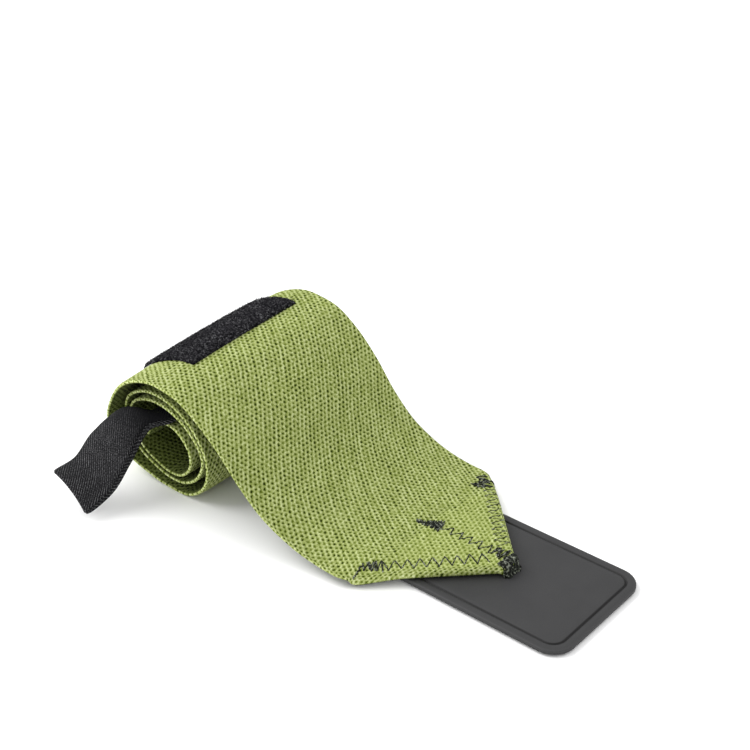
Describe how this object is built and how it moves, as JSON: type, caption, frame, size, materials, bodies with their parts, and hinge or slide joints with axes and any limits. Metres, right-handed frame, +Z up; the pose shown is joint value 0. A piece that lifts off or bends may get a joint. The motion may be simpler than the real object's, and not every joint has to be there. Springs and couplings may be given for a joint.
{
  "type": "elastic wrist wrap",
  "caption": "Elastic wrist wrap lying half unrolled, with a pointed end on a rubber tab, a hook and loop fastener and a webbing thumb loop.",
  "frame": {"origin": "middle of the footprint, on the surface that the wrap lies on", "axes": "+X along the band from the roll towards the tab, +Y across the band away from the thumb loop, +Z up"},
  "size_m": [0.1892, 0.1126, 0.0539],
  "materials": {
    "knit": "ribbed elastic knit, green with dark gaps between the stitches",
    "tab_rubber": "smooth matt moulded rubber with a groove round its rim",
    "hook_tape": "stiff hook tape",
    "loop_tape": "black brushed loop tape",
    "webbing": "charcoal twill elastic webbing"
  },
  "bodies": {
    "root": {"elastic_band": "knit", "rubber_tab": "tab_rubber", "hook_pad": "hook_tape", "loop_strip": "loop_tape", "thumb_loop": "webbing"}
  },
  "joints": []
}
